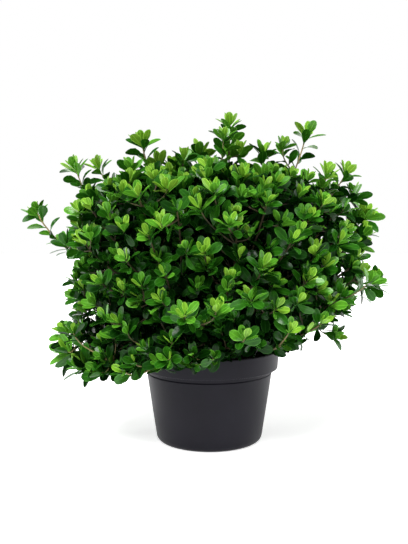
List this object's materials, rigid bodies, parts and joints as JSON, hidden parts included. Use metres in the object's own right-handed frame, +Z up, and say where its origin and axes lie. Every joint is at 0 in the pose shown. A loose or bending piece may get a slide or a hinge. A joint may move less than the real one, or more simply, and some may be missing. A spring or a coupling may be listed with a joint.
{
  "type": "potted azalea shrub",
  "caption": "Evergreen azalea shrub out of flower: a short forked trunk and a broad leafy crown in a round tapered nursery pot with a stepped lip.",
  "frame": {"origin": "centre of the pot's flat underside, on the floor", "axes": "+Z up along the pot's axis, -Y towards the viewer of the picture, +X to the picture's right"},
  "size_m": [0.5659, 0.4998, 0.4981],
  "materials": {
    "pot": "matte",
    "soil": "rough",
    "bark": "rough",
    "foliage": "satin"
  },
  "bodies": {
    "root": {"pot": "pot", "soil": "soil", "trunk": "bark", "bough_low_1": "bark", "bough_low_2": "bark", "bough_low_3": "bark", "bough_low_4": "bark", "bough_low_5": "bark", "bough_low_6": "bark", "bough_middle_1": "bark", "bough_middle_2": "bark", "bough_middle_3": "bark", "bough_middle_4": "bark", "bough_middle_5": "bark", "bough_middle_6": "bark", "bough_top_1": "bark", "bough_top_2": "bark", "bough_top_3": "bark", "bough_top_4": "bark", "foliage_low_1": "foliage", "foliage_low_2": "foliage", "foliage_low_3": "foliage", "foliage_low_4": "foliage", "foliage_low_5": "foliage", "foliage_low_6": "foliage", "foliage_middle_1": "foliage", "foliage_middle_2": "foliage", "foliage_middle_3": "foliage", "foliage_middle_4": "foliage", "foliage_middle_5": "foliage", "foliage_middle_6": "foliage", "foliage_top_1": "foliage", "foliage_top_2": "foliage", "foliage_top_3": "foliage", "foliage_top_4": "foliage"}
  },
  "joints": []
}
